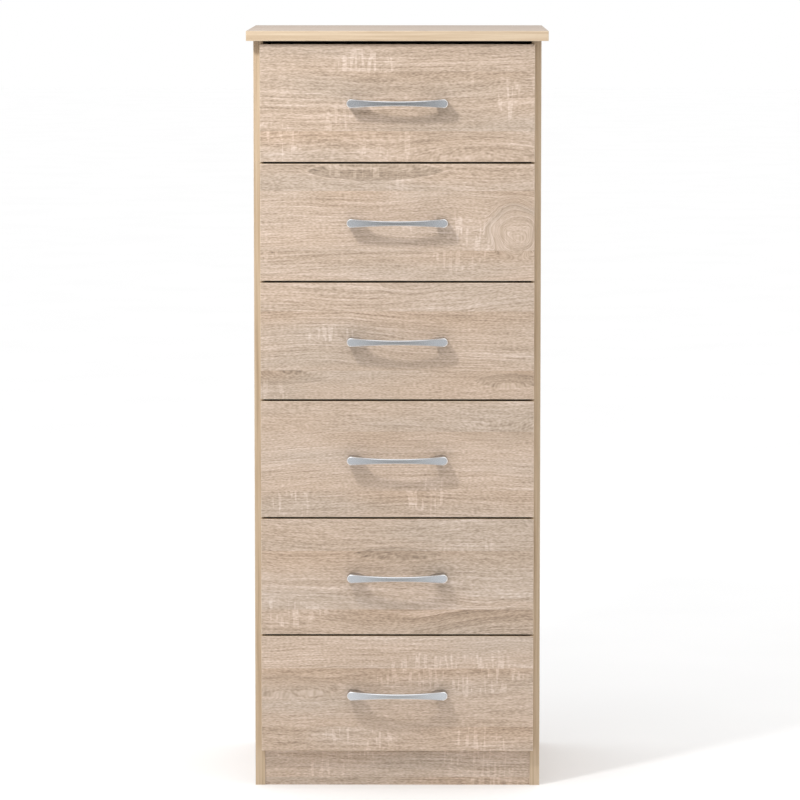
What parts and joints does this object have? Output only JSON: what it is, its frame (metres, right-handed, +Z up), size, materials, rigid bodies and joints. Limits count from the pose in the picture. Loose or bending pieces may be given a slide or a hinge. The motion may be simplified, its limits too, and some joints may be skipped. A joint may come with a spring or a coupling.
{
  "type": "tall chest of drawers",
  "caption": "Tall narrow chest of drawers in pale oak-faced board, with an overhanging top, full-width flat drawer fronts with metal bow handles, and a plinth.",
  "frame": {"origin": "on the floor, under the middle of the overall box, handles included", "axes": "+X to the right as seen from the front, +Y to the rear (the drawers open along -Y), +Z up"},
  "size_m": [0.45, 0.42, 1.14],
  "materials": {
    "oak_melamine": "matte pale oak decor with horizontal grain, oak edge band",
    "drawer_box_foil": "satin off-white foil on chipboard",
    "drawer_bottom_board": "white lacquered hardboard",
    "hardboard": "raw brown hardboard outside, pale inside",
    "handle_metal": "satin nickel-plated casting",
    "runner_plastic": "matte",
    "white_plastic": "matte",
    "fastener_steel": "zinc-plated",
    "dowel_wood": "raw beech"
  },
  "bodies": {
    "carcass": {"top_panel": "oak_melamine", "left_side_panel": "oak_melamine", "right_side_panel": "oak_melamine", "bottom_panel": "oak_melamine", "plinth_panel": "oak_melamine", "rear_rail": "oak_melamine", "back_board_upper": "hardboard", "back_board_lower": "hardboard", "back_joining_strip": "white_plastic", "left_runners": "runner_plastic", "right_runners": "runner_plastic", "runner_screws": "fastener_steel", "cam_locks": "fastener_steel", "cam_bolts": "fastener_steel", "panel_pins": "fastener_steel", "wooden_dowels": "dowel_wood"},
    "drawer_1": {"drawer_1_front": "oak_melamine", "drawer_1_left_side": "drawer_box_foil", "drawer_1_right_side": "drawer_box_foil", "drawer_1_back": "drawer_box_foil", "drawer_1_bottom": "drawer_bottom_board", "drawer_1_handle": "handle_metal", "drawer_1_fasteners": "fastener_steel"},
    "drawer_2": {"drawer_2_front": "oak_melamine", "drawer_2_left_side": "drawer_box_foil", "drawer_2_right_side": "drawer_box_foil", "drawer_2_back": "drawer_box_foil", "drawer_2_bottom": "drawer_bottom_board", "drawer_2_handle": "handle_metal", "drawer_2_fasteners": "fastener_steel"},
    "drawer_3": {"drawer_3_front": "oak_melamine", "drawer_3_left_side": "drawer_box_foil", "drawer_3_right_side": "drawer_box_foil", "drawer_3_back": "drawer_box_foil", "drawer_3_bottom": "drawer_bottom_board", "drawer_3_handle": "handle_metal", "drawer_3_fasteners": "fastener_steel"},
    "drawer_4": {"drawer_4_front": "oak_melamine", "drawer_4_left_side": "drawer_box_foil", "drawer_4_right_side": "drawer_box_foil", "drawer_4_back": "drawer_box_foil", "drawer_4_bottom": "drawer_bottom_board", "drawer_4_handle": "handle_metal", "drawer_4_fasteners": "fastener_steel"},
    "drawer_5": {"drawer_5_front": "oak_melamine", "drawer_5_left_side": "drawer_box_foil", "drawer_5_right_side": "drawer_box_foil", "drawer_5_back": "drawer_box_foil", "drawer_5_bottom": "drawer_bottom_board", "drawer_5_handle": "handle_metal", "drawer_5_fasteners": "fastener_steel"},
    "drawer_6": {"drawer_6_front": "oak_melamine", "drawer_6_left_side": "drawer_box_foil", "drawer_6_right_side": "drawer_box_foil", "drawer_6_back": "drawer_box_foil", "drawer_6_bottom": "drawer_bottom_board", "drawer_6_handle": "handle_metal", "drawer_6_fasteners": "fastener_steel"}
  },
  "joints": [
    {"name": "drawer_1_slide", "type": "slide", "parent": "carcass", "child": "drawer_1", "axis": [0, -1, 0], "range_m": [0, 0.27]},
    {"name": "drawer_2_slide", "type": "slide", "parent": "carcass", "child": "drawer_2", "axis": [0, -1, 0], "range_m": [0, 0.27]},
    {"name": "drawer_3_slide", "type": "slide", "parent": "carcass", "child": "drawer_3", "axis": [0, -1, 0], "range_m": [0, 0.27]},
    {"name": "drawer_4_slide", "type": "slide", "parent": "carcass", "child": "drawer_4", "axis": [0, -1, 0], "range_m": [0, 0.27]},
    {"name": "drawer_5_slide", "type": "slide", "parent": "carcass", "child": "drawer_5", "axis": [0, -1, 0], "range_m": [0, 0.27]},
    {"name": "drawer_6_slide", "type": "slide", "parent": "carcass", "child": "drawer_6", "axis": [0, -1, 0], "range_m": [0, 0.27]}
  ]
}
